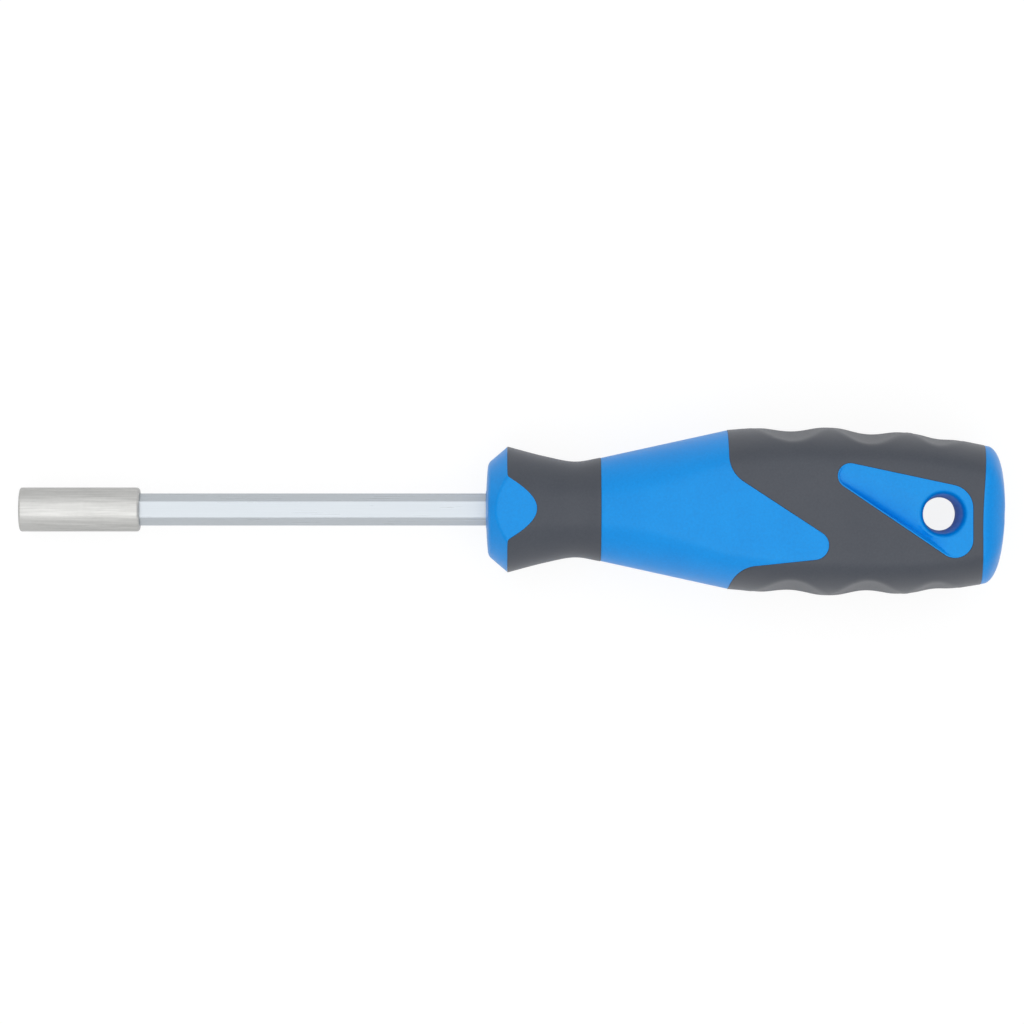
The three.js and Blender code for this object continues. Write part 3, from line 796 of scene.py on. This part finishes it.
def windowDish(plan):  # the window's floor sinks towards its lower left edge
    spec = hardBodySpec
    start, end = np.array(outline["window"][0][:2]), np.array(outline["window"][1][:2])
    along = (end - start) / np.linalg.norm(end - start)
    away = (plan - start) @ np.array([-along[1], along[0]])
    fromTip = (plan - start) @ along
    left = np.linalg.norm(end - start) - fromTip
    fade = np.clip((left - spec["dishFade"] / 2) / spec["dishFade"], 0, 1)
    reach = np.clip(fromTip * spec["tipSpread"], spec["tipReach"], spec["dishReach"])  # narrower at the tip
    share = np.clip(1 - away / reach, 0, 1)
    depth = spec["dishDepth"] * reach / spec["dishReach"]
    edge = windowPlan(0)
    fromEdge = np.hypot(*(plan[:, None, :] - edge[None, :, :]).transpose(2, 0, 1)).min(axis=1)
    fall = np.clip((fromEdge - spec["rim"]) / spec["rimFall"], 0, 1)
    return -depth * share ** spec["dishPower"] * eased(fade) * eased(fall)


def windowPoints(spots, drop=0.0):
    plan = surfacePoint(*spots.T)[:, :2]
    return surfacePoint(*spots.T, windowDish(plan) + drop)


def holeRing(radius):
    turns = 2 * pi * np.arange(hardBodySpec["holeSides"]) / hardBodySpec["holeSides"]
    x = hardBodySpec["holeX"] + radius * np.cos(turns)
    y = hardBodySpec["holeY"] + radius * np.sin(turns)
    return np.stack(planToSurface(x, y), axis=1), x, y


def addHangHole(patch):  # rounded mouth; gives back the lowest ring, where the throat starts
    spec = hardBodySpec
    throatDepth = handle["flatDepth"] - handle["flatTaper"] - spec["mouthDepth"]
    throatTop = spec["throat"] + spec["draft"] * throatDepth
    for share in np.sin(np.linspace(0, pi / 2, spec["mouthRings"])):
        radius = spec["mouth"] + (throatTop - spec["mouth"]) * share
        spots, x, y = holeRing(radius)
        z = windowPoints(spots)[:, 2] - spec["mouthDepth"] * (1 - sqrt(max(0, 1 - share ** 2)))
        ring = np.stack([x, y, z], axis=1)
        patch.addLine(spots, ring, closed=True, onEdge=share == 1)
    return ring


def throatWalls(throat):  # from the upper mouth through the waist to the lower one
    spec = hardBodySpec
    centre = np.array([spec["holeX"], spec["holeY"]])
    waist = throat.copy()
    waist[:, :2] = centre + (throat[:, :2] - centre) * spec["throat"] / np.hypot(*(throat[0, :2] - centre))
    waist[:, 2] = 0
    walls = [throat + (waist - throat) * share for share in np.linspace(0, 1, spec["throatRings"])]
    return walls + [mirrored(wall) for wall in reversed(walls[:-1])]


def bodyPatch():  # the upper half between the joins, and the ring where the throat starts
    spec = hardBodySpec
    patch = Patch()

    def addSurface(line, offset=0.0, closed=False):
        patch.addLine(line, surfacePoint(*line.T, offset), closed)

    def addWindow(line, drop=0.0):
        patch.addLine(line, windowPoints(line, drop), closed=True)

    for place in (spec["joinFront"], spec["joinRear"]):
        addSurface(acrossLine(place))
    for depth, drop in bodyLip:
        addSurface(tongueLine(-depth), drop)
        addWindow(windowLine(-depth), drop)
        addSurface(acrossLine(capStart + depth), drop)
    floor = -seam["gripWall"] - seam["under"]
    addSurface(tongueLine(seam["draft"]), floor)
    addSurface(windowLine(seam["draft"]), floor, closed=True)
    addSurface(acrossLine(capStart - seam["draft"]), floor)
    throat = addHangHole(patch)
    spots = gridSpots(spec["joinFront"], spec["joinRear"], spec["step"])
    clear = spec["step"] * seam["gridClear"]
    plan = surfacePoint(*spots.T)[:, :2]
    inHole = np.hypot(plan[:, 0] - spec["holeX"], plan[:, 1] - spec["holeY"]) < spec["mouth"]
    tongue = spots[inTongue(plan) & (spots[:, 0] > spec["joinFront"])]
    window = spots[inWindow(plan) & ~inHole]
    patch.addGrid(tongue, surfacePoint(*tongue.T), clear)
    for depth in np.linspace(spec["rim"], spec["rim"] + spec["rimFall"], spec["rimRings"]):
        addWindow(windowLine(-depth))
    patch.addGrid(window, windowPoints(window), clear)
    hidden = gridSpots(gripStart, capStart, spec["hiddenStep"])
    plan = surfacePoint(*hidden.T)[:, :2]
    hidden = hidden[~inTongue(plan) & ~inWindow(plan)]
    patch.addGrid(hidden, surfacePoint(*hidden.T, floor), spec["hiddenStep"] * spec["hiddenClear"])
    return patch, throat


def buildHardBody():
    sides = len(allAngles)
    front, cap = frontRings(), capRings()
    patch, throat = bodyPatch()
    walls = throatWalls(throat)
    faces = patch.triangles()
    upper = np.array(patch.points)
    ends = np.array([[hardBodySpec["cavityEnd"], 0, 0], [handle["length"], -handle["lean"], 0]])
    allFaces = loftFaces(len(front), sides) + loftFaces(len(cap), sides, len(front) * sides)
    base = (len(front) + len(cap)) * sides
    allFaces += fan(list(range(sides)), base) + fan(list(range(base - sides, base)), base + 1)
    base += len(ends)
    allFaces += [tuple(base + i for i in f) for f in faces]
    allFaces += [tuple(base + len(upper) + i for i in reversed(f)) for f in faces]
    base += 2 * len(upper)
    allFaces += loftFaces(len(walls), hardBodySpec["holeSides"], base)
    points = [*front, *cap, ends, upper, mirrored(upper), *walls]
    return closedMesh("hardBody", np.concatenate(points), allFaces)


finishPiece("hardBody", buildHardBody(), bluePlastic, "hard_body", "driver")


# Bit sleeve

sleeveSpec = {
    "start": 0.2, "length": 27.35, "radius": 5.0, "sides": 144, "rings": 24, "edgeSteps": 6,
    "frontRounding": 0.55, "frontFall": 0.8, "rearRounding": 0.75, "sharpAngle": 30.0,
    "boreFlats": 6.45, "boreEase": 0.02, "mouth": 4.0, "mouthDepth": 0.8, "groove": 4.3, "grooveHalf": 0.55,
    "recess": 3.85, "recessDepth": 1.2, "recessLip": 0.2,
}


def sleeveProfile(bore):  # places and radii over the outside, from the front edge, and back through the bore
    spec = sleeveSpec
    mouth = spec["start"] - tool["shaftReach"]
    rear = mouth + spec["length"]
    radius, rounding = spec["radius"], spec["rearRounding"]
    turns = np.linspace(0, pi / 2, spec["edgeSteps"] + 1)
    profile = []
    for t in reversed(turns):  # front edge
        fall = spec["frontFall"] * (1 - cos(t))
        profile.append((mouth + spec["frontRounding"] * (1 - sin(t)), radius - fall))
    for place in np.linspace(profile[-1][0], rear - rounding, spec["rings"])[1:]:
        profile.append((place, radius))
    for t in turns[1:]:  # rear edge
        profile.append((rear - rounding * (1 - sin(t)), radius - rounding * (1 - cos(t))))
    groove = tool["ringPlace"] - tool["shaftReach"]
    grooveRear, grooveFront = groove + spec["grooveHalf"], groove - spec["grooveHalf"]
    recessEnd, boreStart = rear - spec["recessDepth"], mouth + spec["mouthDepth"]
    return profile + [
        (rear, spec["recess"] + spec["recessLip"]), (rear - spec["recessLip"], spec["recess"]),
        (recessEnd, spec["recess"]), (recessEnd, bore),
        (grooveRear, bore), (grooveRear, spec["groove"]), (grooveFront, spec["groove"]), (grooveFront, bore),
        (boreStart, bore), (boreStart, np.maximum(bore, spec["boreFlats"] / 2 + spec["boreEase"])),
        (mouth, np.maximum(bore, spec["mouth"])),
    ]


def buildSleeve():
    angles = evenAngles(sleeveSpec["sides"])
    profile = sleeveProfile(hexRadius(angles, sleeveSpec["boreFlats"]))
    rings = [roundRing(place, radius, angles) for place, radius in profile]
    rings.append(rings[0])
    return closedMesh("bitSleeve", np.concatenate(rings), loftFaces(len(rings), sleeveSpec["sides"]))


finishPiece("bitSleeve", buildSleeve(), brushedSteel, "bit_sleeve", "driver",
            sleeveSpec["sharpAngle"])


# Geometry Nodes pieces: hexagon shaft and retaining ring

def nodeTree(name, floats):
    tree = bpy.data.node_groups.new(name, "GeometryNodeTree")
    tree.interface.new_socket("Geometry", in_out="INPUT", socket_type="NodeSocketGeometry")
    for socket in floats:
        tree.interface.new_socket(socket, in_out="INPUT", socket_type="NodeSocketFloat")
    tree.interface.new_socket("Finish", in_out="INPUT", socket_type="NodeSocketMaterial")
    tree.interface.new_socket("Geometry", in_out="OUTPUT", socket_type="NodeSocketGeometry")
    return tree, tree.nodes.new("NodeGroupInput"), tree.nodes.new("NodeGroupOutput")


def vectorOf(tree, x=None, y=None, z=None):
    node = tree.nodes.new("ShaderNodeCombineXYZ")
    for axis, source in zip("XYZ", (x, y, z)):
        if source is not None:
            tree.links.new(source, node.inputs[axis])
    return node.outputs[0]


def sweepAlong(tree, curve, profile):
    sweep = tree.nodes.new("GeometryNodeCurveToMesh")
    sweep.inputs["Fill Caps"].default_value = True
    tree.links.new(curve, sweep.inputs["Curve"])
    tree.links.new(profile, sweep.inputs["Profile Curve"])
    return sweep.outputs[0]


def endTree(tree, ins, outs, geometry):  # instances made real, then the finish
    real = tree.nodes.new("GeometryNodeRealizeInstances")
    finish = tree.nodes.new("GeometryNodeSetMaterial")
    tree.links.new(geometry, real.inputs[0])
    tree.links.new(real.outputs[0], finish.inputs["Geometry"])
    tree.links.new(ins.outputs["Finish"], finish.inputs["Material"])
    tree.links.new(finish.outputs[0], outs.inputs[0])


def meshFromTree(name, tree, values, material, seeds=()):
    host = bpy.data.objects.new(name + "Host", bpy.data.meshes.new(name + "Host"))
    host.data.from_pydata([tuple(p) for p in seeds], [], [])
    bpy.context.scene.collection.objects.link(host)
    modifier = host.modifiers.new("shape", "NODES")
    modifier.node_group = tree
    for item in tree.interface.items_tree:
        if item.in_out == "INPUT" and item.name in values:
            modifier[item.identifier] = values[item.name]
        if item.in_out == "INPUT" and item.name == "Finish":
            modifier[item.identifier] = material
    deps = bpy.context.evaluated_depsgraph_get()
    mesh = bpy.data.meshes.new_from_object(host.evaluated_get(deps))
    mesh.name = name
    host.modifiers.remove(modifier)
    bpy.data.objects.remove(host)
    return weldMesh(mesh)


acrossFlats = 6.35
wingPlaces = (44.0, 70.0)
shaftSharpAngle = 24.0
shaftSpec = {
    "Across Corners": acrossFlats * 2 / sqrt(3), "Edge Rounding": 0.14, "Front": -90.4, "Rear": 80.0,
    "Wing Length": 8.0, "Wing Span": 10.0, "Wing Thickness": 2.4,
}


def makeShaftTree():  # a rounded hexagon swept along the tool, with pressed wings where the seed points are
    tree, ins, outs = nodeTree("hexShaft", shaftSpec)
    line = tree.nodes.new("GeometryNodeCurvePrimitiveLine")
    tree.links.new(vectorOf(tree, ins.outputs["Front"]), line.inputs["Start"])
    tree.links.new(vectorOf(tree, ins.outputs["Rear"]), line.inputs["End"])
    hexagon = tree.nodes.new("GeometryNodeCurvePrimitiveCircle")
    hexagon.inputs["Resolution"].default_value = 6
    tree.links.new(mathNode(tree, "MULTIPLY", ins.outputs["Across Corners"], 0.5), hexagon.inputs["Radius"])
    fillet = tree.nodes.new("GeometryNodeFilletCurve")
    fillet.mode = "POLY"
    fillet.inputs["Count"].default_value = 4  # steps round each edge
    tree.links.new(hexagon.outputs[0], fillet.inputs["Curve"])
    tree.links.new(ins.outputs["Edge Rounding"], fillet.inputs["Radius"])
    bar = sweepAlong(tree, line.outputs[0], fillet.outputs[0])
    wing = tree.nodes.new("GeometryNodeMeshCube")
    wingSize = [ins.outputs["Wing " + way] for way in ("Length", "Span", "Thickness")]
    tree.links.new(vectorOf(tree, *wingSize), wing.inputs["Size"])
    spread = tree.nodes.new("GeometryNodeInstanceOnPoints")
    tree.links.new(ins.outputs["Geometry"], spread.inputs["Points"])
    tree.links.new(wing.outputs["Mesh"], spread.inputs["Instance"])
    join = tree.nodes.new("GeometryNodeJoinGeometry")
    tree.links.new(bar, join.inputs[0])
    tree.links.new(spread.outputs[0], join.inputs[0])
    endTree(tree, ins, outs, join.outputs[0])
    return tree


shaftSeeds = [(place, 0, 0) for place in wingPlaces]
shaftMesh = meshFromTree("hexShaft", makeShaftTree(), shaftSpec, platedSteel, shaftSeeds)
finishPiece("hexShaft", shaftMesh, platedSteel, "hex_shaft", "driver", shaftSharpAngle)

ringSpec = {"Middle Radius": 3.75, "Wire Radius": 0.4, "Opening": 60.0}


def makeWireTree():  # an open ring of round wire
    tree, ins, outs = nodeTree("wireRing", ringSpec)
    arc = tree.nodes.new("GeometryNodeCurveArc")
    arc.inputs["Resolution"].default_value = 64  # steps along the wire
    tree.links.new(ins.outputs["Middle Radius"], arc.inputs["Radius"])
    opening = mathNode(tree, "RADIANS", ins.outputs["Opening"])
    tree.links.new(mathNode(tree, "MULTIPLY", opening, 0.5), arc.inputs["Start Angle"])
    tree.links.new(mathNode(tree, "SUBTRACT", 2 * pi, opening), arc.inputs["Sweep Angle"])
    wire = tree.nodes.new("GeometryNodeCurvePrimitiveCircle")
    wire.inputs["Resolution"].default_value = 20  # sides of the wire
    tree.links.new(ins.outputs["Wire Radius"], wire.inputs["Radius"])
    endTree(tree, ins, outs, sweepAlong(tree, arc.outputs[0], wire.outputs[0]))
    return tree


ringMesh = meshFromTree("retainingRing", makeWireTree(), ringSpec, springWire)
ringMove = Matrix.Translation((tool["ringPlace"] - tool["shaftReach"], 0, 0))
acrossTool = Matrix(((0, 0, 1), (1, 0, 0), (0, 1, 0))).to_4x4()  # the tree's z along the tool
ringMesh.transform(ringMove @ acrossTool)
finishPiece("retainingRing", ringMesh, springWire, "retaining_ring", "ring")


# Magnet

magnetSpec = {"face": -94.5, "length": 4.0, "radius": 3.1, "edge": 0.3, "edgeSteps": 4, "sides": 96}


def buildMagnet():
    spec = magnetSpec
    front, back = spec["face"], spec["face"] + spec["length"]
    edge, sides = spec["edge"], spec["sides"]
    turns = np.linspace(0, pi / 2, spec["edgeSteps"] + 1)
    half = [(edge * (1 - sin(t)), spec["radius"] - edge * (1 - cos(t))) for t in reversed(turns)]
    places = [(front + depth, radius) for depth, radius in half]
    places += [(back - depth, radius) for depth, radius in reversed(half)]
    rings = [roundRing(place, radius, evenAngles(sides)) for place, radius in places]
    count = len(rings) * sides
    faces = loftFaces(len(rings), sides)
    faces += fan(list(range(sides)), count) + fan(list(range(count - sides, count)), count + 1)
    return closedMesh("bitMagnet", np.concatenate([*rings, [(front, 0, 0), (back, 0, 0)]]), faces)


finishPiece("bitMagnet", buildMagnet(), nickelPlate, "bit_magnet", "driver")


# Core inside the handle, which keeps its CAD mesh

frame["nodes"]["tang_core"].data.materials.clear()
frame["nodes"]["tang_core"].data.materials.append(corePlastic)
print("all pieces made")
